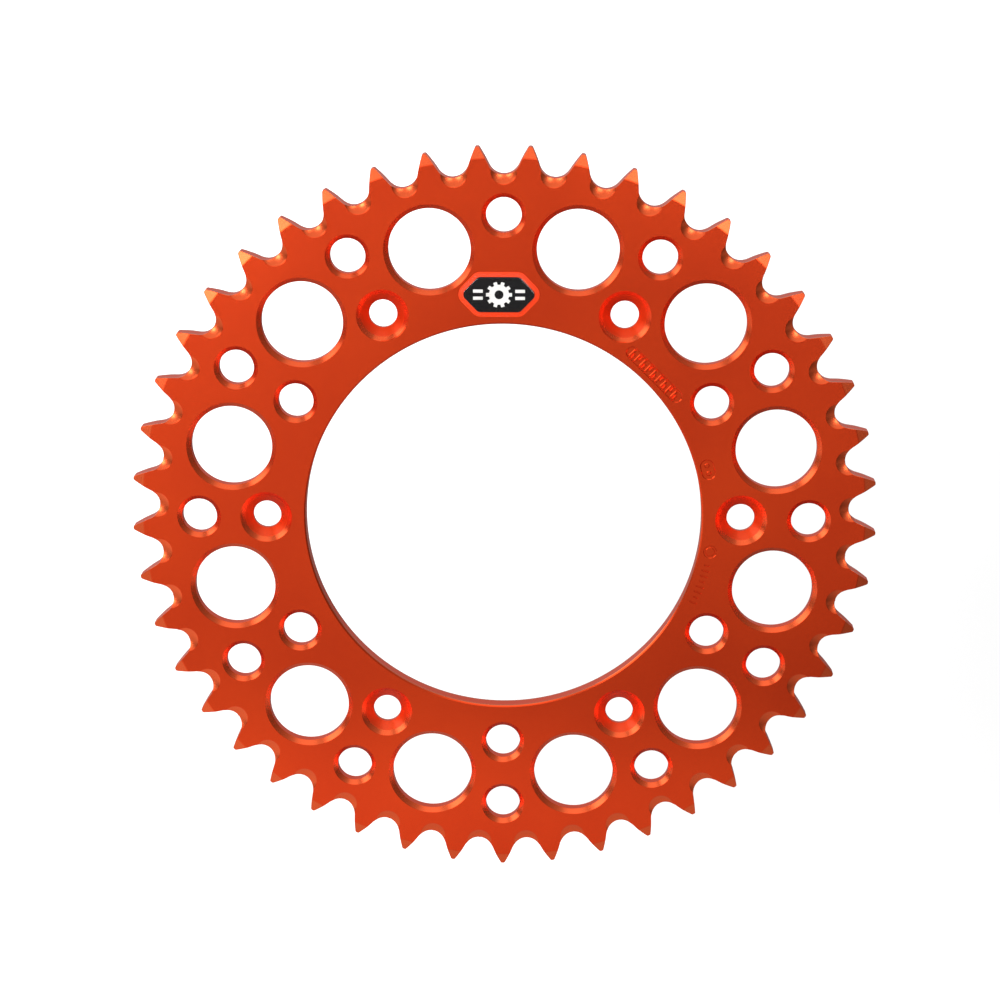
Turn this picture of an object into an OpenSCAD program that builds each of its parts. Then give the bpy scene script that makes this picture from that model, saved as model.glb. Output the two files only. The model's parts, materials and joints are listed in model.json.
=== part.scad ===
// Rear sprocket of a motorcycle, with the domed badge on its outboard face.
// Frame: the chain runs in the XZ plane, Y is the wheel axis and -Y is the outboard side.
// The origin is the bore centre on the middle plane of the teeth, and +Z is up.
// Every module is drawn lying flat, outboard face up, and stands up in the last lines.

/* [Chain] */
// Pitch of the chain, roller centre to roller centre
chain_pitch = 15.875; // [15.8:0.005:15.95]
// Diameter of a chain roller
roller_d = 10.16; // [9.9:0.02:10.3]
// Number of teeth
teeth = 45; // [45:1:52]

/* [Teeth] */
// Radius of the seat that holds a roller
seat_r = 5.1; // [5.08:0.01:5.28]
// Angle of the seat that the roller touches
seat_angle = 129; // [120:1:134]
// Height of a tooth above the pitch circle
tooth_h = 3.65; // [3:0.05:4]
// Radius of the rounding at the corners of a tooth's tip
tip_round = 0.5; // [0.3:0.05:0.6]
// Width of the bevel at the tip, measured along the radius
bevel_w = 3.75; // [2.5:0.05:4]
// Depth of the bevel at the tip, measured along the axis
bevel_t = 0.95; // [0.5:0.05:1.2]

/* [Mud reliefs] */
// Diameter of the ball that scoops out each tooth root
scoop_ball_d = 16; // [12:0.5:18]
// Width of a scoop at the face
scoop_w = 8.1; // [7:0.1:9]
// Distance of a scoop's centre inside the pitch circle
scoop_inset = 4.05; // [3.5:0.05:4.5]

/* [Plate] */
// Thickness of the plate
plate_t = 5.8; // [5.4:0.1:6.4]
// Diameter of the centre bore, which sits on the hub's shoulder
bore_d = 125; // [123:0.5:126]
// Width of the chamfer on both edges of the bore
bore_chamfer = 0.5; // [0.3:0.1:0.8]

/* [Mounting holes] */
// Number of mounting bolts
bolt_count = 6; // [3, 6]
// Diameter of the circle through the mounting bolts
bolt_pcd = 150; // [149:0.5:151]
// Diameter of a bolt hole
bolt_hole_d = 8.8; // [8.2:0.1:9]
// Diameter of the countersink at the outboard face
countersink_d = 16.3; // [15:0.1:17]
// Width of the chamfer where a bolt hole leaves the hub face
bolt_chamfer = 0.5; // [0.3:0.1:0.8]

/* [Lightening holes] */
// Diameter of the large holes
large_hole_d = 25.5; // [22:0.5:26]
// Diameter of the circle through the large holes
large_pcd = 177; // [176:0.5:178]
// Diameter of the small holes, both rows
small_hole_d = 11; // [9:0.5:11.5]
// Diameter of the circle through the outer row of small holes
outer_pcd = 192.5; // [191:0.5:193]
// Width of the chamfer on both edges of every lightening hole
hole_chamfer = 1.4; // [0.8:0.1:1.5]

/* [Stamped marks] */
// Radius of the line on which the marks stand
mark_line_r = 66.2; // [66:0.1:67]
// Depth of the stamped pockets
pocket_depth = 0.25; // [0.15:0.05:0.4]
// Length of the long pocket
long_pocket_l = 23.4; // [18:0.2:26]
// Width of the long pocket
long_pocket_w = 3.9; // [3:0.1:4.5]
// Raised bars inside the long pocket
pocket_bars = 9; // [5:1:11]
// Small bars stamped in a row below the bolt hole
row_bars = 8; // [4:1:9]

/* [Badge] */
// Length of the badge
badge_l = 25; // [22:0.5:26]
// Height of the badge
badge_h = 14; // [12:0.5:14.5]
// Radius of the badge's corners
badge_corner_r = 3.4; // [3:0.1:4]
// Distance of the badge's centre from the bore centre
badge_r = 71.8; // [71:0.1:73]
// Sideways shift of the badge
badge_shift = -1.4; // [-3:0.1:3]
// Thickness of the vinyl label
label_t = 0.3; // [0.2:0.05:0.5]
// Thickness of the black panel and of the silver emblem
foil_t = 0.1; // [0.08:0.01:0.2]
// Height of the clear dome above the label
dome_h = 1.1; // [0.8:0.1:1.5]
// Width of the label's border round the black panel
border_w = 1.5; // [1:0.1:2]

/* [Hidden] */

$fn = 96;
far = 1; // how far a cutter runs past the face it cuts
pitch_r = chain_pitch / 2 / sin(180 / teeth);
root_r = pitch_r - roller_d / 2;
tip_r = pitch_r + tooth_h;
face = plate_t / 2; // height of each face above and below the middle plane

// Tooth form: seat arc, then a convex flank, then the rounded corner of the tip
seat_x = root_r + seat_r;
flank_r = 0.12 * roller_d * (teeth + 2);
tip_h = tip_r * cos(180 / teeth); // height of a tip above the bore centre, along the gap's own axis
flank_a0 = 90 - seat_angle / 2; // the flank leaves the seat at this angle from the radius
flank_x0 = seat_x - seat_r * cos(seat_angle / 2);
flank_y0 = seat_r * sin(seat_angle / 2);
flank_a1 = asin((tip_h - tip_round - flank_x0 + flank_r * sin(flank_a0)) / (flank_r - tip_round));
flank_x1 = flank_x0 + flank_r * (sin(flank_a1) - sin(flank_a0));
flank_y1 = flank_y0 + flank_r * (cos(flank_a0) - cos(flank_a1));
flank_steps = 6;
tip_steps = 4;

scoop_r = scoop_ball_d / 2;
scoop_lift = sqrt(scoop_r * scoop_r - scoop_w * scoop_w / 4);

inner_hole_angles = [for (k = [0:5]) if (k != 1) 30 + 60 * k]; // the badge takes the place at the top
large_holes = 12;
outer_holes = 12;

badge_face = face + label_t;
badge_flat = badge_l / 2 - badge_corner_r; // where the outermost corner circles stand
badge_side = badge_h / 2 - badge_corner_r;
badge_corners = [
    [badge_flat, 0], [0.62 * badge_flat, badge_side], [-0.62 * badge_flat, badge_side],
    [-badge_flat, 0], [-0.62 * badge_flat, -badge_side], [0.62 * badge_flat, -badge_side]
];
dome_steps = 6;
cog_r = 3.1;
cog_teeth = 10;

// One flank of a tooth gap, from the seat to the tip, as points in the gap's own axes
function arc_point(x, y, r, a, b) = [x + r * (sin(b) - sin(a)), y + r * (cos(a) - cos(b))];
function flank_points() = concat(
    [for (i = [0:flank_steps])
        arc_point(flank_x0, flank_y0, flank_r, flank_a0, flank_a0 + (flank_a1 - flank_a0) * i / flank_steps)],
    [for (i = [1:tip_steps])
        arc_point(flank_x1, flank_y1, tip_round, flank_a1, flank_a1 + (90 - flank_a1) * i / tip_steps)]
);
function mirrored(points) = [for (i = [len(points) - 1:-1:0]) [points[i][0], -points[i][1]]];

// Everything between two teeth, with the gap's middle on +X
module tooth_gap() {
    side = flank_points();
    edge = side[len(side) - 1];
    linear_extrude(plate_t + 2 * far, center = true) {
        translate([seat_x, 0]) circle(r = seat_r);
        polygon(concat(side, [[tip_r + far, edge[1]], [tip_r + far, -edge[1]]], mirrored(side)));
    }
}

// The round scoops that thin a tooth root on both faces
module root_scoops() {
    for (side = [-1, 1])
        translate([pitch_r - scoop_inset, 0, side * (face + scoop_lift)]) sphere(r = scoop_r);
}

// A through hole, with a chamfer of its own width on each face
module edged_hole(r, lower_chamfer, upper_chamfer) {
    rotate_extrude()
        polygon([
            [0, -face - far], [r + lower_chamfer + far, -face - far], [r, -face + lower_chamfer],
            [r, face - upper_chamfer], [r + upper_chamfer + far, face + far], [0, face + far]
        ]);
}

// The turned blank: a ring with bevelled rim and chamfered bore
module blank() {
    bore_r = bore_d / 2;
    rotate_extrude($fn = 180)
        polygon([
            [bore_r, -face + bore_chamfer], [bore_r + bore_chamfer, -face],
            [tip_r - bevel_w, -face], [tip_r, -face + bevel_t],
            [tip_r, face - bevel_t], [tip_r - bevel_w, face],
            [bore_r + bore_chamfer, face], [bore_r, face - bore_chamfer]
        ]);
}

// A flat shape with round ends, lying across X
module slot(l, w) {
    square([l - w, w], center = true);
    for (side = [-1, 1])
        translate([side * (l - w) / 2, 0]) circle(d = w, $fn = 48);
}

// Turns a mark to its angle round the bore and sinks it into the outboard face
module stamped(angle, depth) {
    rotate(angle - 90)
        translate([0, mark_line_r, face - depth]) linear_extrude(depth + far) children();
}

// Two pockets with raised bars and dots, and a row of small bars after a ring
module stamped_marks() {
    bar = [0.5, long_pocket_w * 0.55];
    stamped(45, pocket_depth)
        difference() {
            slot(long_pocket_l, long_pocket_w);
            for (i = [0:pocket_bars - 1])
                translate([(i - (pocket_bars - 1) / 2) * (long_pocket_l - 5) / (pocket_bars - 1), 0])
                    square(bar, center = true);
        }
    stamped(14.4, pocket_depth)
        difference() {
            slot(6.6, 5);
            for (side = [-1, 1])
                translate([side * 1.3, 0]) circle(d = 1.3, $fn = 32);
        }
    stamped(-9, pocket_depth / 2)
        difference() {
            circle(d = 4.2, $fn = 48);
            circle(d = 3, $fn = 48);
        }
    for (i = [0:row_bars - 1])
        stamped(-13 - 1.6 * i, pocket_depth / 2) square([0.6, 2.4], center = true);
}

module sprocket_plate() {
    color("orangered")
        difference() {
            blank();
            for (k = [0:teeth - 1])
                rotate(90 + k * 360 / teeth) {
                    tooth_gap();
                    root_scoops();
                }
            for (k = [0:bolt_count - 1])
                rotate(k * 360 / bolt_count)
                    translate([bolt_pcd / 2, 0])
                        edged_hole(bolt_hole_d / 2, bolt_chamfer, (countersink_d - bolt_hole_d) / 2);
            for (a = inner_hole_angles)
                rotate(a) translate([bolt_pcd / 2, 0]) edged_hole(small_hole_d / 2, hole_chamfer, hole_chamfer);
            for (k = [0:outer_holes - 1])
                rotate(k * 360 / outer_holes)
                    translate([outer_pcd / 2, 0]) edged_hole(small_hole_d / 2, hole_chamfer, hole_chamfer);
            for (k = [0:large_holes - 1])
                rotate((k + 0.5) * 360 / large_holes)
                    translate([large_pcd / 2, 0]) edged_hole(large_hole_d / 2, hole_chamfer, hole_chamfer);
            stamped_marks();
        }
}

module at_badge(height) {
    translate([badge_shift, badge_r, height]) children();
}

// Outline of the badge, drawn in by the given distance
module badge_outline(inset) {
    hull()
        for (p = badge_corners)
            translate(p) circle(r = badge_corner_r - inset, $fn = 32);
}

// Flat picture on the badge: a plain cog with two bars on each side
module emblem() {
    difference() {
        union() {
            circle(r = cog_r, $fn = 64);
            for (k = [0:cog_teeth - 1])
                rotate(k * 360 / cog_teeth) square([2 * cog_r + 1.8, 1.1], center = true);
        }
        circle(r = cog_r * 0.45, $fn = 48);
    }
    for (side = [-1, 1])
        for (row = [-1, 1])
            translate([side * (cog_r + 3.4), row * 1.1]) square([3, 1], center = true);
}

module badge_label() {
    color("orangered") at_badge(face) linear_extrude(label_t) badge_outline(0);
}

module badge_panel() {
    color("black") at_badge(badge_face) linear_extrude(foil_t) badge_outline(border_w);
}

module badge_emblem() {
    color("gainsboro") at_badge(badge_face + foil_t) linear_extrude(foil_t) emblem();
}

// Clear resin: one low dome over the label, hollowed where the panel and the emblem lie
module badge_dome() {
    skin = 0.01;
    color("white", 0.3) difference() {
        at_badge(badge_face)
            hull()
                for (i = [0:dome_steps], p = badge_corners) {
                    a = 75 * i / dome_steps;
                    r = badge_corner_r - 0.2 - 2.4 * (1 - cos(a));
                    translate([p[0], p[1], (dome_h - skin) * sin(a) / sin(75)])
                        cylinder(r = r, h = skin, $fn = 32);
                }
        at_badge(badge_face) linear_extrude(foil_t) badge_outline(border_w);
        at_badge(badge_face + foil_t) linear_extrude(foil_t) emblem();
    }
}

module upright() {
    rotate([90, 0, 0]) children();
}

upright() sprocket_plate();
upright() badge_label();
upright() badge_panel();
upright() badge_emblem();
upright() badge_dome();
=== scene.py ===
import json
import math

import bmesh
import bpy
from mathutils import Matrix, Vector


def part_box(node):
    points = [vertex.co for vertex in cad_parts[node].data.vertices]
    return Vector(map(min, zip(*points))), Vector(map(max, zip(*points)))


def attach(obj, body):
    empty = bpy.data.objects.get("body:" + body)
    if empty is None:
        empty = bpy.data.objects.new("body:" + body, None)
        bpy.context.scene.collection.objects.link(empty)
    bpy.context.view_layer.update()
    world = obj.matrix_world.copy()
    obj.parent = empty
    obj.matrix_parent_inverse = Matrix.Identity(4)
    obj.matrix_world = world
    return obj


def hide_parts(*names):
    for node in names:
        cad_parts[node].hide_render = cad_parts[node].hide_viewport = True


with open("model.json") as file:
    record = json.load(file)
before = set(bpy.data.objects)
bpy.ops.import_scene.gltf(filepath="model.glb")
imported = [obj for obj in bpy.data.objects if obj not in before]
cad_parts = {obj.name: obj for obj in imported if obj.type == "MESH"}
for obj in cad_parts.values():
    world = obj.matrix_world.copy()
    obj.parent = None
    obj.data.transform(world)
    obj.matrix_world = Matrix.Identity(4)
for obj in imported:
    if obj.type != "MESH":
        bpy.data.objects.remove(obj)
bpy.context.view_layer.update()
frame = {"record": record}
scene = bpy.context.scene
mm = 0.001
mounts = {mount["name"]: mount["dims"] for mount in frame["record"]["mounts"]}
plateLow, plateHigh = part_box("sprocket_plate")
halfThickness = (plateHigh.y - plateLow.y) / 2
tipRadius = -plateLow.z  # a tooth points straight down
print("frame loaded, plate", round(2 * halfThickness / mm, 2), "mm thick")


class Signal:
    # An output socket that sums, products and powers can be written with
    def __init__(self, wires, socket):
        self.wires, self.socket = wires, socket

    def __add__(self, other):
        return self.wires.math("ADD", self, other)

    def __sub__(self, other):
        return self.wires.math("SUBTRACT", self, other)

    def __rsub__(self, other):
        return self.wires.math("SUBTRACT", other, self)

    def __mul__(self, other):
        return self.wires.math("MULTIPLY", self, other)

    def __truediv__(self, other):
        return self.wires.math("DIVIDE", self, other)

    def __pow__(self, other):
        return self.wires.math("POWER", self, other)

    def __neg__(self):
        return self.wires.math("MULTIPLY", self, -1.0)

    __radd__ = __add__
    __rmul__ = __mul__


class Wires:
    # Adds nodes to one tree, for shading or for geometry
    def __init__(self, tree):
        self.tree = tree

    def socketOf(self, sockets, key):
        if isinstance(key, int):
            return sockets[key]
        return next(s for s in sockets if s.enabled and key in (s.identifier, s.name))

    def add(self, kind, settings=None, values=None, output=0):
        node = self.tree.nodes.new(kind)
        for name, value in (settings or {}).items():
            if name == "stops":
                self.setStops(node.color_ramp, value)
            else:
                setattr(node, name, value)
        for key, value in (values or {}).items():
            socket = self.socketOf(node.inputs, key)
            for one in value if isinstance(value, list) else [value]:
                if isinstance(one, Signal):
                    self.tree.links.new(one.socket, socket)
                else:
                    socket.default_value = one
        return Signal(self, self.socketOf(node.outputs, output))

    def setStops(self, ramp, stops):
        while len(ramp.elements) < len(stops):
            ramp.elements.new(0.5)
        for element, (position, grey) in zip(ramp.elements, stops):
            element.position, element.color = position, (grey, grey, grey, 1)

    def math(self, operation, *values):
        return self.add("ShaderNodeMath", {"operation": operation}, dict(enumerate(values)))

    def clamped(self, value, low, high):
        # 0 at low and 1 at high, smooth between them
        values = {"Value": value, "From Min": low, "From Max": high}
        return self.add("ShaderNodeMapRange", {"interpolation_type": "SMOOTHSTEP"}, values)


def newTree(name, sizes):
    # A tree whose inputs are named after the sizes; returns its wires and its inputs as signals
    tree = bpy.data.node_groups.new(name, "GeometryNodeTree")
    kinds = {float: "NodeSocketFloat", int: "NodeSocketInt"}
    tree.interface.new_socket("Geometry", in_out="INPUT", socket_type="NodeSocketGeometry")
    for label, value in sizes.items():
        kind = kinds.get(type(value), "NodeSocketObject")
        tree.interface.new_socket(label, in_out="INPUT", socket_type=kind)
    tree.interface.new_socket("Geometry", in_out="OUTPUT", socket_type="NodeSocketGeometry")
    wires = Wires(tree)
    outputs = tree.nodes.new("NodeGroupInput").outputs
    return wires, {s.name: Signal(wires, s) for s in outputs if s.name}


def closeTree(wires, geometry, material):
    whole = wires.add("GeometryNodeRealizeInstances", {}, {"Geometry": geometry})
    painted = wires.add("GeometryNodeSetMaterial", {}, {"Geometry": whole, "Material": material})
    wires.tree.links.new(painted.socket, wires.tree.nodes.new("NodeGroupOutput").inputs[0])


def grow(name, wires, sizes, base):
    # Runs the tree on the base mesh and keeps the result as a plain mesh
    piece = bpy.data.objects.new(name, base)
    scene.collection.objects.link(piece)
    modifier = piece.modifiers.new("Shape", "NODES")
    modifier.node_group = wires.tree
    for item in wires.tree.interface.items_tree:
        if item.in_out == "INPUT" and item.name in sizes:
            modifier[item.identifier] = sizes[item.name]
    graph = bpy.context.evaluated_depsgraph_get()
    shape = bpy.data.meshes.new_from_object(piece.evaluated_get(graph))
    piece.modifiers.remove(modifier)
    finishes = [material for material in shape.materials if material]
    shape.materials.clear()
    shape.materials.append(finishes[0])
    shape.polygons.foreach_set("material_index", [0] * len(shape.polygons))
    piece.data = shape
    shape.name = name
    return piece


def moved(wires, geometry, place=(0, 0, 0), turn=(0, 0, 0)):
    values = {"Geometry": geometry, "Translation": place, "Rotation": turn}
    return wires.add("GeometryNodeTransform", {}, values)


def vector(wires, x, y, z):
    return wires.add("ShaderNodeCombineXYZ", {}, {"X": x, "Y": y, "Z": z})


def axesOf(wires, where):
    return [wires.add("ShaderNodeSeparateXYZ", {}, {"Vector": where}, axis) for axis in "XYZ"]


def union(wires, *parts):
    settings = {"operation": "UNION", "solver": "MANIFOLD"}
    return wires.add("GeometryNodeMeshBoolean", settings, {"Mesh 2": list(parts)})


def cut(wires, body, *cutters):
    settings = {"operation": "DIFFERENCE", "solver": "MANIFOLD"}
    return wires.add("GeometryNodeMeshBoolean", settings, {"Mesh 1": body, "Mesh 2": list(cutters)})


def prism(wires, face, height):
    # Raises a flat face, centred on its own plane, and closes it
    values = {"Mesh": face, "Offset Scale": height, "Individual": False}
    raised = wires.add("GeometryNodeExtrudeMesh", {}, values)
    under = wires.add("GeometryNodeFlipFaces", {}, {"Mesh": face})
    both = wires.add("GeometryNodeJoinGeometry", {}, {"Geometry": [raised, under]})
    closed = wires.add("GeometryNodeMergeByDistance", {}, {"Geometry": both, "Distance": 1e-7})
    return moved(wires, closed, vector(wires, 0, 0, height * -0.5))


def ringOf(wires, geometry, count, radius, firstAngle, leftOut=None):
    # Copies geometry round the Z axis, turned to face out, with one place left out if asked
    index = wires.add("GeometryNodeInputIndex")
    angle = index * (2 * math.pi) / count + firstAngle
    x, y = wires.math("COSINE", angle) * radius, wires.math("SINE", angle) * radius
    place = vector(wires, x, y, 0)
    points = wires.add("GeometryNodePoints", {}, {"Count": count, "Position": place})
    turn = wires.add("FunctionNodeEulerToRotation", {}, {"Euler": vector(wires, 0, 0, angle)})
    values = {"Points": points, "Instance": geometry, "Rotation": turn}
    if leftOut is not None:
        values["Selection"] = wires.math("COMPARE", index, leftOut, 0.5) * -1 + 1
    copies = wires.add("GeometryNodeInstanceOnPoints", {}, values)
    return wires.add("GeometryNodeRealizeInstances", {}, {"Geometry": copies})


def cylinder(wires, radius, height, steps):
    values = {"Vertices": steps, "Radius": radius, "Depth": height}
    return wires.add("GeometryNodeMeshCylinder", {}, values)


def block(wires, x, y, z):
    return wires.add("GeometryNodeMeshCube", {}, {"Size": vector(wires, x, y, z)})


def meshFrom(name, points, faces):
    mesh = bpy.data.meshes.new(name)
    mesh.from_pydata(points, [], faces)
    mesh.update()
    return mesh


def flatFace(name, outline):
    # One face with its normal up, from an outline in mm that runs anticlockwise
    mesh = meshFrom(name, [(x * mm, y * mm, 0) for x, y in outline], [list(range(len(outline)))])
    return bpy.data.objects.new(name, mesh)


def turnedRing(name, profile, steps):
    # Turns a closed profile of (radius, height) round the Z axis
    count = len(profile)
    points, faces = [], []
    for i in range(steps):
        c, s = math.cos(2 * math.pi * i / steps), math.sin(2 * math.pi * i / steps)
        points += [(r * c, r * s, z) for r, z in profile]
        here, there = i * count, (i + 1) % steps * count
        for j in range(count):
            k = (j + 1) % count
            faces.append([here + j, there + j, there + k, here + k])
    return meshFrom(name, points, faces)


# Sprocket plate

plateSizes = {
    "chainPitch": 15.875,
    "rollerDiameter": 10.16,
    "teeth": 45,
    "seatRadius": 5.1,
    "seatAngle": 129.0,
    "tipRounding": 0.5,
    "bevelWidth": 3.75,
    "bevelDepth": 0.95,
    "boreChamfer": 0.5,
    "ballRadius": 8.0,
    "scoopWidth": 8.1,
    "scoopInset": 4.05,
    "brokenEdge": 0.1,
    "merge": 0.015,
}
boltCircle, boltHole = mounts["hub_bolts"]["pcd_mm"] / 2, mounts["hub_bolts"]["hole_r_mm"]
# Rows of holes: count, place left out, first angle, circle radius, hole radius,
# front and back chamfer. The badge stands where the inner row leaves one out.
holeRows = {
    "Bolt": (6, -1, 0.0, boltCircle, boltHole, 3.75, 0.5),
    "Inner": (6, 1, 30.0, 75.0, 5.5, 1.4, 1.4),
    "Outer": (12, -1, 0.0, 96.25, 5.5, 1.4, 1.4),
    "Large": (12, -1, 15.0, 88.5, 12.75, 1.4, 1.4),
}


def arcTo(x, y, radius, start, end, steps):
    # Points of an arc that leaves (x, y) at angle start from the X axis and turns to end
    a = math.radians(start)
    turns = [math.radians(start + (end - start) * i / steps) for i in range(1, steps + 1)]
    across, along = x - radius * math.sin(a), y + radius * math.cos(a)
    return [(across + radius * math.sin(b), along - radius * math.cos(b)) for b in turns]


def pitchRadiusOf(sizes):
    return sizes["chainPitch"] / 2 / math.sin(math.pi / sizes["teeth"])


def toothGap(sizes):
    # Outline between two teeth, gap's middle on +X: seat, convex flanks, rounded tip corners
    teeth, seatRadius, rounding = sizes["teeth"], sizes["seatRadius"], sizes["tipRounding"]
    tip = tipRadius / mm
    seatX = pitchRadiusOf(sizes) - sizes["rollerDiameter"] / 2 + seatRadius
    flankRadius = 0.12 * sizes["rollerDiameter"] * (teeth + 2)  # the standard's longest flank
    start = 90 - sizes["seatAngle"] / 2
    lean = math.radians(start)
    x = seatX - seatRadius * math.sin(lean)
    y = seatRadius * math.cos(lean)
    rise = tip * math.cos(math.pi / teeth) - rounding - x + flankRadius * math.sin(lean)
    end = math.degrees(math.asin(rise / (flankRadius - rounding)))
    side = [(x, y)] + arcTo(x, y, flankRadius, start, end, 10)
    side += arcTo(*side[-1], rounding, end, 90, 6)
    span, steps = math.radians(sizes["seatAngle"]), 32
    angles = [math.pi + span * (i / steps - 0.5) for i in range(1, steps)]
    seat = [(seatX + seatRadius * math.cos(a), seatRadius * math.sin(a)) for a in angles]
    edge = side[-1][1]
    outside = [(tip + 1, -edge), (tip + 1, edge)]
    lower = [(px, -py) for px, py in side]
    # from +y to -y through the root, out along the lower flank and back along the upper
    return seat + lower + outside + side[::-1]


def edgedHole(wires, holeRadius, front, back, steps):
    # Cutter for a through hole with a 45 degree chamfer on each face
    over = 1 * mm
    through = cylinder(wires, holeRadius, 2 * (halfThickness + over), steps)
    cones = []
    for chamfer, side in ((front, 1), (back, -1)):
        values = {"Vertices": steps, "Depth": chamfer + 2 * over}
        values |= {"Radius Bottom": holeRadius - over, "Radius Top": holeRadius + chamfer + over}
        cone = wires.add("GeometryNodeMeshCone", {}, values)
        low = -chamfer + (halfThickness - over)
        flip = 0 if side > 0 else math.pi
        cones.append(moved(wires, cone, vector(wires, 0, 0, low * side), (flip, 0, 0)))
    return union(wires, through, *cones)


def tapered(wires, x, y, low, high, slope):
    # Block from height low to high whose sides lean out by slope, x by y in size at height 0
    body = moved(wires, block(wires, x, y, high - low), (0, 0, (high + low) / 2))
    across, along, up = axesOf(wires, wires.add("GeometryNodeInputPosition"))
    lean = up * slope
    shift = vector(wires, across * lean * (2 / x), along * lean * (2 / y), 0)
    return wires.add("GeometryNodeSetPosition", {}, {"Geometry": body, "Offset": shift})


def taperedDisc(wires, radius, low, high, slope, steps=48):
    values = {"Vertices": steps, "Depth": high - low}
    values |= {"Radius Bottom": radius + low * slope, "Radius Top": radius + high * slope}
    return moved(wires, wires.add("GeometryNodeMeshCone", {}, values), (0, 0, low))


# Stamped marks, in mm and degrees, all inside the band of radii
stampSizes = {
    "line": 66.2,
    "band": (63.8, 69.0),
    "deep": 0.25,
    "shallow": 0.15,
    "longPocket": (23.4, 3.9, 45),  # length, width, angle
    "shortPocket": (6.6, 4.4, 14.4),
    "pairs": 9,  # tall and short bars left standing in the long pocket
    "pairPitch": 2.3,
    "dot": 0.55,
    "ring": (2.1, 1.3, -9),  # outer and inner radius, angle
    "rowBars": 8,
    "rowStart": -13,
    "rowStep": 1.6,
}


def stampedMarks(wires, sizes):
    # Cutters for the shallow marks on the front face, height 0 at the face
    deep, shallow, line = sizes["deep"] * mm, sizes["shallow"] * mm, sizes["line"] * mm
    over = 0.3 * mm
    standing = (-deep - over, -0.03 * mm, -1.0)  # what is left standing inside a pocket

    def placed(shape, angle):
        a = math.radians(angle)
        place = (line * math.cos(a), line * math.sin(a), halfThickness)
        return moved(wires, shape, place, (0, 0, a - math.pi / 2))

    def pocket(length, width, angle, raised):
        straight = (length - width) * mm
        parts = [tapered(wires, straight, width * mm, -deep, over, 1.0)]
        for side in (-1, 1):
            end = taperedDisc(wires, width / 2 * mm, -deep, over, 1.0)
            parts.append(moved(wires, end, (side * straight / 2, 0, 0)))
        return placed(cut(wires, union(wires, *parts), *raised), angle)

    def bar(x, y, tall, wide=0.35):
        shape = tapered(wires, wide * mm, tall * mm, *standing)
        return moved(wires, shape, (x * mm, y * mm, 0))

    def dot(x):
        shape = taperedDisc(wires, sizes["dot"] * mm, *standing, 32)
        return moved(wires, shape, (x * mm, 0, 0))

    bars = []
    for i in range(sizes["pairs"]):
        place = (i - (sizes["pairs"] - 1) / 2) * sizes["pairPitch"]
        bars.append(bar(place - 0.45, 0, 2.2))
        bars.append(bar(place + 0.45, 0.55 if i % 2 else -0.55, 1.1))
    outer, inner, angle = sizes["ring"]
    ring = cut(
        wires,
        taperedDisc(wires, outer * mm, -shallow, over, 1.0),
        taperedDisc(wires, inner * mm, -deep - over, over * 2, -1.0),
    )
    marks = [
        pocket(*sizes["longPocket"], bars),
        pocket(*sizes["shortPocket"], [dot(-1.3), dot(1.3)]),
        placed(ring, angle),
    ]
    for i in range(sizes["rowBars"]):
        tall = 2.4 if i % 3 else 1.6
        low = tapered(wires, 0.5 * mm, tall * mm, -shallow, over, 0.8)
        marks.append(placed(low, sizes["rowStart"] - sizes["rowStep"] * i))
    return marks


def makePlate(sizes, material):
    gap = flatFace("toothGap", toothGap(sizes))
    inputs = {
        "Tooth gap": gap,
        "Teeth": sizes["teeth"],
        "Ball radius": sizes["ballRadius"] * mm,
        "Scoop circle": (pitchRadiusOf(sizes) - sizes["scoopInset"]) * mm,
        "Scoop width": sizes["scoopWidth"] * mm,
    }
    parts = "count", "left out", "first angle", "circle", "radius", "front chamfer", "back chamfer"
    for row, values in holeRows.items():
        for part, value in zip(parts, values):
            if part == "first angle":
                value = math.radians(value)
            elif isinstance(value, float):
                value = value * mm
            inputs[f"{row} {part}"] = value
    wires, given = newTree("sprocketPlate", inputs)

    shape = given["Geometry"]
    outline = wires.add("GeometryNodeObjectInfo", {}, {"Object": given["Tooth gap"]}, "Geometry")
    cutter = prism(wires, outline, 2 * halfThickness + 2 * mm)
    shape = cut(wires, shape, ringOf(wires, cutter, given["Teeth"], 0.0, math.pi / 2))
    # balls stand above and below each root
    lift = (given["Ball radius"] ** 2 - (given["Scoop width"] / 2) ** 2) ** 0.5 + halfThickness
    values = {"Segments": 72, "Rings": 48, "Radius": given["Ball radius"]}
    ball = wires.add("GeometryNodeMeshUVSphere", {}, values)
    for side in (1, -1):
        row = ringOf(wires, ball, given["Teeth"], given["Scoop circle"], math.pi / 2)
        shape = cut(wires, shape, moved(wires, row, vector(wires, 0, 0, lift * side)))
    for row in holeRows:
        rowSizes = [given[f"{row} {part}"] for part in parts]
        count, leftOut, first, circle, radius, front, back = rowSizes
        hole = edgedHole(wires, radius, front, back, 96 if row == "Large" else 64)
        shape = cut(wires, shape, ringOf(wires, hole, count, circle, first, leftOut))
    shape = cut(wires, shape, *stampedMarks(wires, stampSizes))
    shape = moved(wires, shape, turn=(math.pi / 2, 0, 0))
    closeTree(wires, shape, material)

    bore = mounts["hub_bore"]["r_mm"] * mm
    edge, width, depth = (sizes[k] * mm for k in ("boreChamfer", "bevelWidth", "bevelDepth"))
    half = halfThickness
    profile = [
        (bore, -half + edge),
        (bore + edge, -half),
        (tipRadius - width, -half),
        (tipRadius, -half + depth),
        (tipRadius, half - depth),
        (tipRadius - width, half),
        (bore + edge, half),
        (bore, half - edge),
    ]
    plate = grow("sprocketPlate", wires, inputs, turnedRing("blank", profile, 720))
    bpy.data.objects.remove(gap)
    return plate


def newFinish(name, constants):
    # A material with its fixed values set on the shader's own sockets
    material = bpy.data.materials.new(name)
    material.use_nodes = True
    shader = material.node_tree.nodes["Principled BSDF"]
    for key, value in constants.items():
        shader.inputs[key].default_value = value
    return material, Wires(material.node_tree), shader


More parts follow.
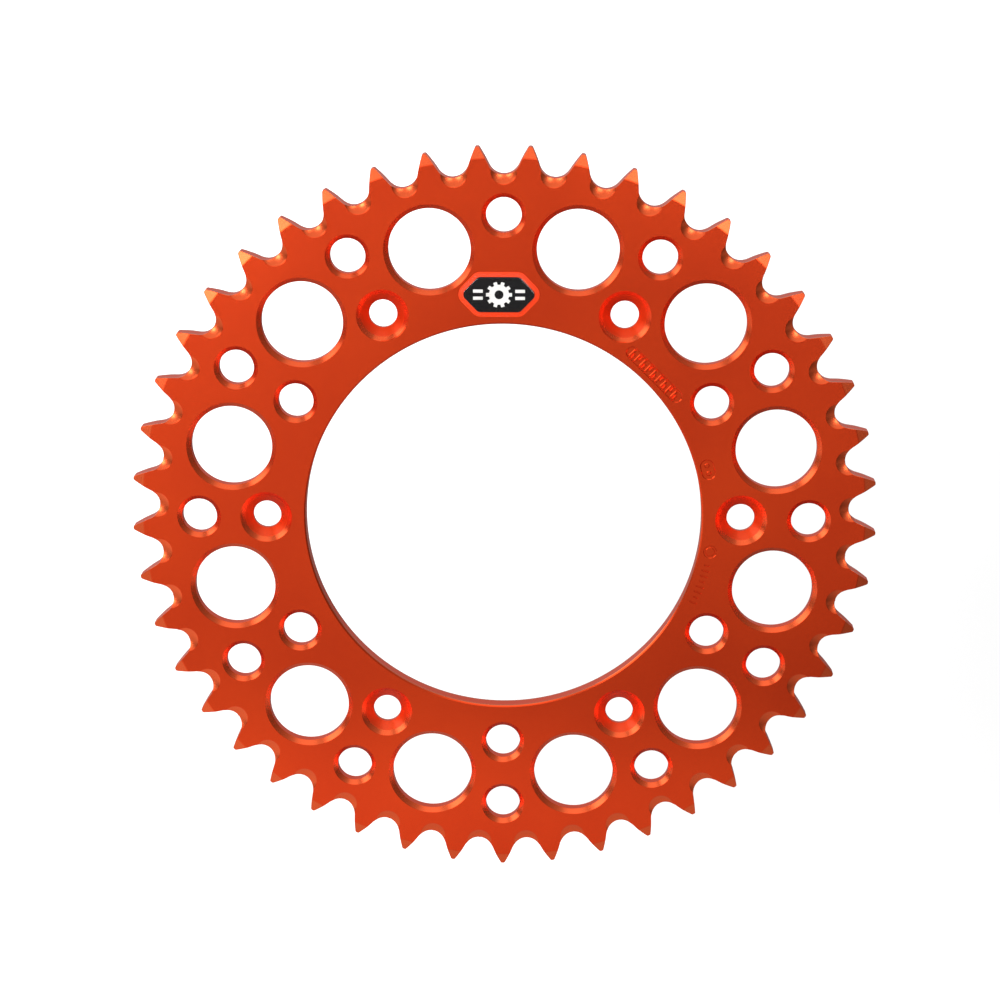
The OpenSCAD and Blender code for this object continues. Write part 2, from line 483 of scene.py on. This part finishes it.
def feed(shader, **signals):
    # Links signals to the shader; baseColor goes to Base Color
    names = {"baseColor": "Base Color", "emission": "Emission Color"}
    names |= {"roughness": "Roughness", "normal": "Normal"}
    for key, signal in signals.items():
        signal.wires.tree.links.new(signal.socket, shader.inputs[names[key]])


def grainOf(wires, where, size, detail=2.0, roughness=0.5):
    # Noise whose grains are about size mm across
    values = {"Vector": where, "Scale": 1 / (size * mm), "Detail": detail, "Roughness": roughness}
    return wires.add("ShaderNodeTexNoise", {}, values, "Fac")


def blendColour(wires, factor, low, high):
    values = {"Factor": factor, "A": low, "B": high}
    return wires.add("ShaderNodeMix", {"data_type": "RGBA", "blend_type": "MIX"}, values, "Result")


def bumpOf(wires, height, distance, strength=1.0):
    values = {"Height": height, "Distance": distance * mm, "Strength": strength}
    return wires.add("ShaderNodeBump", {}, values, "Normal")


anodising = {
    "deep": (0.60, 0.036, 0.0010, 1),
    "light": (0.67, 0.046, 0.0020, 1),
    "cut": (0.63, 0.080, 0.018, 1),
    "pale": (0.78, 0.13, 0.04, 1),
    "wall": (0.66, 0.054, 0.008, 1),
    "roughness": 0.235,
    "grain": 0.18,
    "grainDepth": 0.0005,
    "turningLine": 0.11,
    "turningDepth": 0.0005,
}


def anodisedOrange(look):
    # Dyed anodised aluminium: fine blasted grain on the faces, paler where it was cut
    material, wires, shader = newFinish(
        "anodisedOrange",
        {
            "Metallic": 1.0,
            "Specular Tint": (0.8, 0.72, 0.7, 1),
            "Coat Weight": 0.25,
            "Coat Roughness": 0.25,
            "Coat IOR": 1.5,
        },
    )
    where = wires.add("ShaderNodeTexCoord", {}, {}, "Object")
    x, y, z = axesOf(wires, where)
    radius = (x**2 + z**2) ** 0.5
    height = wires.math("ABSOLUTE", y)
    cloud = grainOf(wires, where, 45, 3.0)
    speckle = grainOf(wires, where, 1.1, 3.0, 0.6)
    grain = grainOf(wires, where, look["grain"], 2.0, 0.6)
    # turned rings on the tip bevels and round the bore
    ring = vector(wires, radius * (1 / (look["turningLine"] * mm)), 0, 0)
    values = {"Vector": ring, "Scale": 1.0, "Detail": 2.0}
    lines = wires.add("ShaderNodeTexNoise", {}, values, "Fac")
    tipStart = tipRadius - plateSizes["bevelWidth"] * mm
    boreEdge = (mounts["hub_bore"]["r_mm"] + plateSizes["boreChamfer"]) * mm
    turned = wires.clamped(radius, tipStart, tipStart + 0.1 * mm)
    turned = wires.math("MAXIMUM", turned, wires.clamped(radius, boreEdge + 0.2 * mm, boreEdge))
    tone = wires.clamped(cloud * 0.7 + speckle * 0.2 + grain * 0.1, 0.25, 0.75)
    # below the faces lie the cut surfaces, and in the middle the walls, which are rougher
    below = wires.clamped(height, halfThickness - 0.02 * mm, halfThickness - 0.14 * mm)
    floorOfMarks = halfThickness - stampSizes["deep"] * mm - 0.05 * mm
    stamped = wires.clamped(height, floorOfMarks - 0.04 * mm, floorOfMarks)
    bandEnd = stampSizes["band"][1] * mm
    inBand = wires.clamped(radius, bandEnd - 0.4 * mm, bandEnd - 0.6 * mm)
    below = below * (1.0 - stamped * inBand)
    wallEdge = halfThickness - holeRows["Large"][-1] * mm
    wall = wires.clamped(height, wallEdge + 0.1 * mm, wallEdge)
    patches = (cloud - 0.5) * 0.03 + (speckle - 0.5) * 0.02 + turned * (lines - 0.5) * 0.06
    relief = grain * look["grainDepth"] + turned * lines * look["turningDepth"]
    colour = blendColour(wires, tone, look["deep"], look["light"])
    colour = blendColour(wires, below, colour, look["cut"])
    feed(
        shader,
        baseColor=blendColour(wires, wall, colour, look["wall"]),
        roughness=patches + below * 0.035 + wall * 0.18 + look["roughness"],
        normal=bumpOf(wires, relief, 1.0),
    )
    return material


def edgeFinish(name, colour):
    # Narrow broken edges, where the dye is thinner
    constants = {"Metallic": 1.0, "Coat Weight": 0.12, "Coat Roughness": 0.25}
    material, wires, shader = newFinish(name, constants)
    where = wires.add("ShaderNodeTexCoord", {}, {}, "Object")
    patch = grainOf(wires, where, 2.5, 3.0)
    thin = wires.clamped(patch, 0.35, 0.65)
    feed(
        shader,
        baseColor=blendColour(wires, thin, anodising["light"], colour),
        roughness=patch * 0.15 + 0.25,
    )
    return material


def orangeVinyl():
    material, wires, shader = newFinish("orangeVinyl", {"Specular IOR Level": 0.15})
    where = wires.add("ShaderNodeTexCoord", {}, {}, "Object")
    fibre = grainOf(wires, where, 0.35, 3.0)
    cloud = grainOf(wires, where, 6.0, 2.0)
    tone = cloud * 0.5 + fibre * 0.5
    feed(
        shader,
        baseColor=blendColour(wires, tone, (0.86, 0.040, 0.002, 1), (0.92, 0.060, 0.006, 1)),
        roughness=fibre * 0.2 + 0.35,
        normal=bumpOf(wires, fibre, 0.003),
    )
    return material


def blackPrint():
    material, wires, shader = newFinish("blackPrint", {"Specular IOR Level": 0.08})
    where = wires.add("ShaderNodeTexCoord", {}, {}, "Object")
    fleck = grainOf(wires, where, 0.2, 3.0, 0.7)
    feed(
        shader,
        baseColor=blendColour(wires, fleck, (0.002, 0.002, 0.0025, 1), (0.008, 0.007, 0.008, 1)),
        roughness=fleck * 0.3 + 0.35,
        normal=bumpOf(wires, fleck, 0.002),
    )
    return material


def silverFoil():
    material, wires, shader = newFinish("silverFoil", {"Metallic": 0.35})
    where = wires.add("ShaderNodeTexCoord", {}, {}, "Object")
    # brushed along the badge's length
    stretched = wires.add("ShaderNodeMapping", {}, {"Vector": where, "Scale": (0.08, 1, 1)})
    brush = grainOf(wires, stretched, 0.12, 3.0, 0.6)
    shade = grainOf(wires, where, 5.0, 1.0)
    tone = wires.clamped(brush * 0.5 + shade * 0.5, 0.3, 0.7)
    feed(
        shader,
        baseColor=blendColour(wires, tone, (0.66, 0.65, 0.63, 1), (0.90, 0.89, 0.86, 1)),
        roughness=brush * 0.2 + 0.32,
        normal=bumpOf(wires, brush, 0.002),
    )
    return material


def clearResin():
    # Clear skin: see-through, with a gloss that grows towards grazing
    material, wires, shader = newFinish("clearResin", {})
    tree = material.node_tree
    tree.nodes.remove(shader)
    where = wires.add("ShaderNodeTexCoord", {}, {}, "Object")
    ripple = grainOf(wires, where, 3.0, 1.0)
    facing = wires.add("ShaderNodeLayerWeight", {}, {"Blend": 0.5}, "Facing")
    values = {"Color": (1, 1, 1, 1), "Roughness": 0.05, "Normal": bumpOf(wires, ripple, 0.01)}
    gloss = wires.add("ShaderNodeBsdfGlossy", {}, values, "BSDF")
    clear = wires.add("ShaderNodeBsdfTransparent", {}, {"Color": (0.97, 0.97, 0.97, 1)}, "BSDF")
    values = {0: facing**5 * 0.9 + 0.008, 1: clear, 2: gloss}
    both = wires.add("ShaderNodeMixShader", {}, values, "Shader")
    tree.links.new(both.socket, tree.nodes["Material Output"].inputs["Surface"])
    return material


# Badge

badgeSizes = {
    "length": 25.0,
    "height": 14.0,
    "corner": 3.4,
    "shoulder": 0.62,
    "centre": (-1.4, 71.8),
    "label": 0.3,
    "foil": 0.1,
    "dome": 1.1,
    "border": 1.5,
    "cogRadius": 3.1,
    "cogTeeth": 10,
}


def badgeOutline(sizes, inset, steps=10):
    # Long hexagon with round corners, drawn in by inset, anticlockwise
    flat, side = sizes["length"] / 2 - sizes["corner"], sizes["height"] / 2 - sizes["corner"]
    inner = sizes["shoulder"] * flat
    corners = [(flat, 0), (inner, side), (-inner, side)]
    corners += [(-x, -y) for x, y in corners]
    radius = sizes["corner"] - inset
    made = []
    for i, (x, y) in enumerate(corners):
        before, after = Vector(corners[i - 1]), Vector(corners[(i + 1) % len(corners)])
        start = math.atan2(y - before.y, x - before.x) - math.pi / 2
        turn = (math.atan2(after.y - y, after.x - x) - math.pi / 2 - start) % (2 * math.pi)
        for k in range(steps + 1):
            a = start + turn * k / steps
            made.append((x + radius * math.cos(a), y + radius * math.sin(a)))
    return made


def onBadge(sizes, x, y, height):
    # Badge axes to the upright frame, height above the plate's front face
    across, up = sizes["centre"]
    return (x + across) * mm, -halfThickness - height * mm, (y + up) * mm


def stacked(name, sizes, rings, material):
    # Closed skin over outlines of equal count, bottom one first
    count = len(rings[0][0])
    points = [onBadge(sizes, x, y, height) for outline, height in rings for x, y in outline]
    faces = [list(range(count))[::-1], [len(points) - count + i for i in range(count)]]
    for level in range(len(rings) - 1):
        for i in range(count):
            j = (i + 1) % count
            low, high = level * count, (level + 1) * count
            faces.append([low + i, low + j, high + j, high + i])
    mesh = meshFrom(name, points, faces)
    tidyMesh(mesh, 35)
    mesh.materials.append(material)
    piece = bpy.data.objects.new(name, mesh)
    scene.collection.objects.link(piece)
    return piece


def fillFlat(shape, level):
    # Fills one flat side of the plate again with evenly cut triangles
    flat = [f for f in shape.faces if all(v.co.y == level for v in f.verts)]
    bmesh.ops.delete(shape, geom=flat, context="FACES")
    rim = [e for e in shape.edges if e.is_boundary and all(v.co.y == level for v in e.verts)]
    normal = (0, math.copysign(1, level), 0)
    bmesh.ops.triangle_fill(shape, edges=rim, use_beauty=True, normal=normal)


def tidyMesh(mesh, sharpAngle, merge=1e-7, level=None):
    # Merges doubles, turns faces outward, smooth except at sharp edges
    shape = bmesh.new()
    shape.from_mesh(mesh)
    bmesh.ops.remove_doubles(shape, verts=shape.verts, dist=merge)
    if level:
        for corner in shape.verts:
            # merged corners go back onto the flat sides of the plate
            if abs(abs(corner.co.y) - level) < merge:
                corner.co.y = math.copysign(level, corner.co.y)
        level = max(v.co.y for v in shape.verts)  # as the mesh stores it
        fillFlat(shape, level)
        fillFlat(shape, -level)
        gaps = [e for e in shape.edges if e.is_boundary]
        bmesh.ops.holes_fill(shape, edges=gaps, sides=8)
        loose = [e for e in shape.edges if e.is_wire]
        bmesh.ops.delete(shape, geom=loose, context="EDGES")
    bmesh.ops.recalc_face_normals(shape, faces=shape.faces)
    shape.to_mesh(mesh)
    shape.free()
    mesh.shade_smooth()
    mesh.set_sharp_from_angle(angle=math.radians(sharpAngle))


def breakEdges(piece, width, material):
    # Narrow round edges in a finish of their own, kept as plain mesh
    piece.data.materials.append(material)
    shape = bmesh.new()
    shape.from_mesh(piece.data)
    weight = shape.edges.layers.float.new("bevel_weight_edge")
    start, end = (radius * mm for radius in stampSizes["band"])
    for edge in shape.edges:
        # the stamped marks keep the edges they were cut with
        marked = any(v.co.y < -2 * mm and start < v.co.xz.length < end for v in edge.verts)
        sharp = edge.is_manifold and edge.calc_face_angle() > math.radians(50)
        edge[weight] = 1.0 if sharp and not marked else 0.0
    shape.to_mesh(piece.data)
    shape.free()
    edges = piece.modifiers.new("Broken edges", "BEVEL")
    edges.width, edges.segments, edges.limit_method = width, 2, "WEIGHT"
    edges.use_clamp_overlap = False
    edges.material, edges.miter_outer = 1, "MITER_ARC"
    graph = bpy.context.evaluated_depsgraph_get()
    shape = bpy.data.meshes.new_from_object(piece.evaluated_get(graph))
    piece.modifiers.remove(edges)
    piece.data = shape
    shape.name = piece.name
    for corner in shape.vertices:
        # the rounding leaves no corner past the tip circle
        past = tipRadius / corner.co.xz.length
        if past < 1:
            corner.co.x, corner.co.z = corner.co.x * past, corner.co.z * past
    shape.set_sharp_from_angle(angle=math.radians(12))


def makeLabel(sizes, material):
    top = sizes["label"]
    steps = ((0, 0), (0, top - 0.09), (0.03, top - 0.03), (0.09, top))
    rings = [(badgeOutline(sizes, inset), height) for inset, height in steps]
    return stacked("badgeLabel", sizes, rings, material)


def makePanel(sizes, material):
    low, high = sizes["label"], sizes["label"] + sizes["foil"]
    steps = ((0, low), (0, high - 0.03), (0.03, high))
    rings = [(badgeOutline(sizes, sizes["border"] + inset), height) for inset, height in steps]
    return stacked("badgePanel", sizes, rings, material)


def makeDome(sizes, material):
    # A quarter round edge that ends in a flat top
    start, steps = sizes["label"] + 0.01, 12
    rings = []
    for i in range(steps + 1):
        a = math.pi / 2 * i / steps
        inset = 0.2 + 2.4 * (1 - math.cos(a))
        height = start + (sizes["dome"] - 0.01) * math.sin(a)
        rings.append((badgeOutline(sizes, inset), height))
    top, height = rings[-1]
    rings += [([(x * k, y * k) for x, y in top], height) for k in (0.7, 0.4, 0.1)]
    return stacked("badgeDome", sizes, rings, material)


def makeEmblem(sizes, material):
    # Plain cog between two pairs of bars, lying on the panel
    inputs = {
        "Cog radius": sizes["cogRadius"] * mm,
        "Cog teeth": sizes["cogTeeth"],
        "Foil": sizes["foil"] * mm,
        "Bar place": (sizes["cogRadius"] + 3.4) * mm,
    }
    wires, given = newTree("badgeEmblem", inputs)
    radius, foil = given["Cog radius"], given["Foil"]
    tooth = block(wires, 1.8 * mm, 1.1 * mm, foil)
    teeth = ringOf(wires, tooth, given["Cog teeth"], radius, 0.0)
    cog = union(wires, cylinder(wires, radius, foil, 64), teeth)
    cog = cut(wires, cog, cylinder(wires, radius * 0.45, foil * 3, 48))
    bars = []
    for side in (-1, 1):
        for row in (-1, 1):
            place = vector(wires, given["Bar place"] * side, row * 1.1 * mm, 0)
            bars.append(moved(wires, block(wires, 3 * mm, 1 * mm, foil), place))
    whole = wires.add("GeometryNodeJoinGeometry", {}, {"Geometry": [cog] + bars})
    place = onBadge(sizes, 0, 0, sizes["label"] + 1.5 * sizes["foil"])
    closeTree(wires, moved(wires, whole, place, (math.pi / 2, 0, 0)), material)
    emblem = grow("badgeEmblem", wires, inputs, bpy.data.meshes.new("emblem"))
    tidyMesh(emblem.data, 25)
    return emblem


# Studio

studio = {
    "cameraPlace": (0.017484, -0.778444, 0.217859),
    "cameraTurn": (74.73636, -0.06891, 1.38570),
    "focalLength": 91.9267,
    "floorSize": 14.0,
}
# Softboxes: direction from the bore, distance, width, height, radiance
softboxes = {
    "leftWindow": ((-0.385, -0.916, 0.115), 1.6, 0.5, 0.44, 12.0),
    "rightWindow": ((0.260, -0.948, 0.180), 1.6, 0.5, 0.5, 7.8),
    "leftTop": ((-0.83, -0.18, 0.54), 1.5, 1.2, 0.8, 2.7),
    "overhead": ((-0.02, -0.27, 0.963), 1.6, 1.2, 1.2, 0.8),
}


def placeCamera(look):
    camera = bpy.data.objects.new("camera", bpy.data.cameras.new("camera"))
    camera.location = look["cameraPlace"]
    camera.rotation_euler = [math.radians(a) for a in look["cameraTurn"]]
    camera.data.lens, camera.data.sensor_width = look["focalLength"], 36
    camera.data.clip_start, camera.data.clip_end = 0.01, 50
    scene.collection.objects.link(camera)
    scene.camera = camera


def placeSoftboxes():
    for name, (direction, distance, width, height, radiance) in softboxes.items():
        light = bpy.data.lights.new(name, "AREA")
        light.shape, light.size, light.size_y = "RECTANGLE", width, height
        light.energy = radiance * math.pi * width * height
        lamp = bpy.data.objects.new(name, light)
        away = Vector(direction).normalized()
        lamp.location = away * distance
        lamp.rotation_euler = away.to_track_quat("Z", "Y").to_euler()
        lamp.visible_camera = False
        scene.collection.objects.link(lamp)


def whiteSweep():
    # White to the camera; as a reflection its grey is painted shade, greyer in front and darker
    # towards the right
    constants = {"Specular IOR Level": 0.1, "Emission Strength": 1.0}
    material, wires, shader = newFinish("whiteSweep", constants)
    where = wires.add("ShaderNodeTexCoord", {}, {}, "Object")
    x, y = axesOf(wires, where)[:2]
    cloud = grainOf(wires, where, 400, 2.0)
    front = wires.clamped(y, -0.09, -0.4)
    # painted shade: the floor's grey is darker towards the right, and in front it is darker far off
    # and to the right
    behind = wires.clamped(x, 0.35, -0.4) * 0.5 + cloud * 0.03 + 0.14
    frontShadeGrey = wires.clamped(x, 0.55, -0.55) * 0.18 + wires.clamped(y, -0.9, -0.3) * 0.22 + 0.22
    grey = front * (frontShadeGrey - behind) + behind
    # painted light: a glow makes the floor brighter under the teeth and fills the contact shadow
    # there
    glowUnderTeeth = wires.clamped(y, -0.2, -0.06) * wires.clamped(y, 0.06, -0.02) * 0.5
    glowUnderTeeth = glowUnderTeeth * wires.clamped(x, 0.3, 0.0)
    seen = wires.add("ShaderNodeLightPath", {}, {}, "Is Camera Ray")
    glow = glowUnderTeeth + seen * (wires.clamped(y, 0.1, 1.6) * 0.4 + front * 0.3 + 0.75)
    feed(
        shader,
        baseColor=vector(wires, grey, grey, grey),
        emission=vector(wires, glow, glow, glow),
        roughness=cloud * 0.1 + 0.75,
    )
    return material


def placeFloor(look):
    half = look["floorSize"] / 2
    corners = [(-half, -half), (half, -half), (half, half), (-half, half)]
    mesh = meshFrom("floor", [(x, y, plateLow.z) for x, y in corners], [[0, 1, 2, 3]])
    mesh.materials.append(whiteSweep())
    floor = bpy.data.objects.new("floor", mesh)
    scene.collection.objects.link(floor)


def lightWorld():
    # A bright wall with windows on the camera's side, paler above, dim to the right
    world = bpy.data.worlds.new("studio")
    world.use_nodes = True
    scene.world = world
    wires = Wires(world.node_tree)
    toward = wires.add("ShaderNodeTexCoord", {}, {}, "Generated")
    x, y, z = axesOf(wires, toward)
    behind = wires.clamped(y, -0.2, 0.5)
    above = wires.clamped(z, 0.1, 0.9)
    left = wires.clamped(-x, -0.3, 0.9)
    front = wires.clamped(x * -0.04 - y * 0.88 + z * 0.48, 0.55, 0.95)
    glow = behind * 0.40 + above * 0.24 + left * 0.22 + front * 0.75 + 0.24
    seen = wires.add("ShaderNodeLightPath", {}, {}, "Is Camera Ray")
    strength = seen * (1.0 - glow) + glow
    background = world.node_tree.nodes["Background"]
    background.inputs["Color"].default_value = (1, 1, 1, 1)
    world.node_tree.links.new(strength.socket, background.inputs["Strength"])


placeCamera(studio)
placeFloor(studio)
placeSoftboxes()
lightWorld()
scene.view_settings.view_transform = "Standard"
print("studio set")

plate = makePlate(plateSizes, anodisedOrange(anodising))
tidyMesh(plate.data, 12, plateSizes["merge"] * mm, halfThickness)
breakEdges(plate, plateSizes["brokenEdge"] * mm, edgeFinish("anodisedEdge", anodising["pale"]))
print("plate made,", len(plate.data.polygons), "faces")

label = makeLabel(badgeSizes, orangeVinyl())
panel = makePanel(badgeSizes, blackPrint())
emblem = makeEmblem(badgeSizes, silverFoil())
dome = makeDome(badgeSizes, clearResin())
print("badge made")

for piece, node, finish in (
    (plate, "sprocket_plate", "orange_anodised"),
    (label, "badge_label", "orange_vinyl"),
    (panel, "badge_panel", "black_print"),
    (emblem, "badge_emblem", "silver_foil"),
    (dome, "badge_dome", "clear_resin"),
):
    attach(piece, "root")
    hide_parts(node)
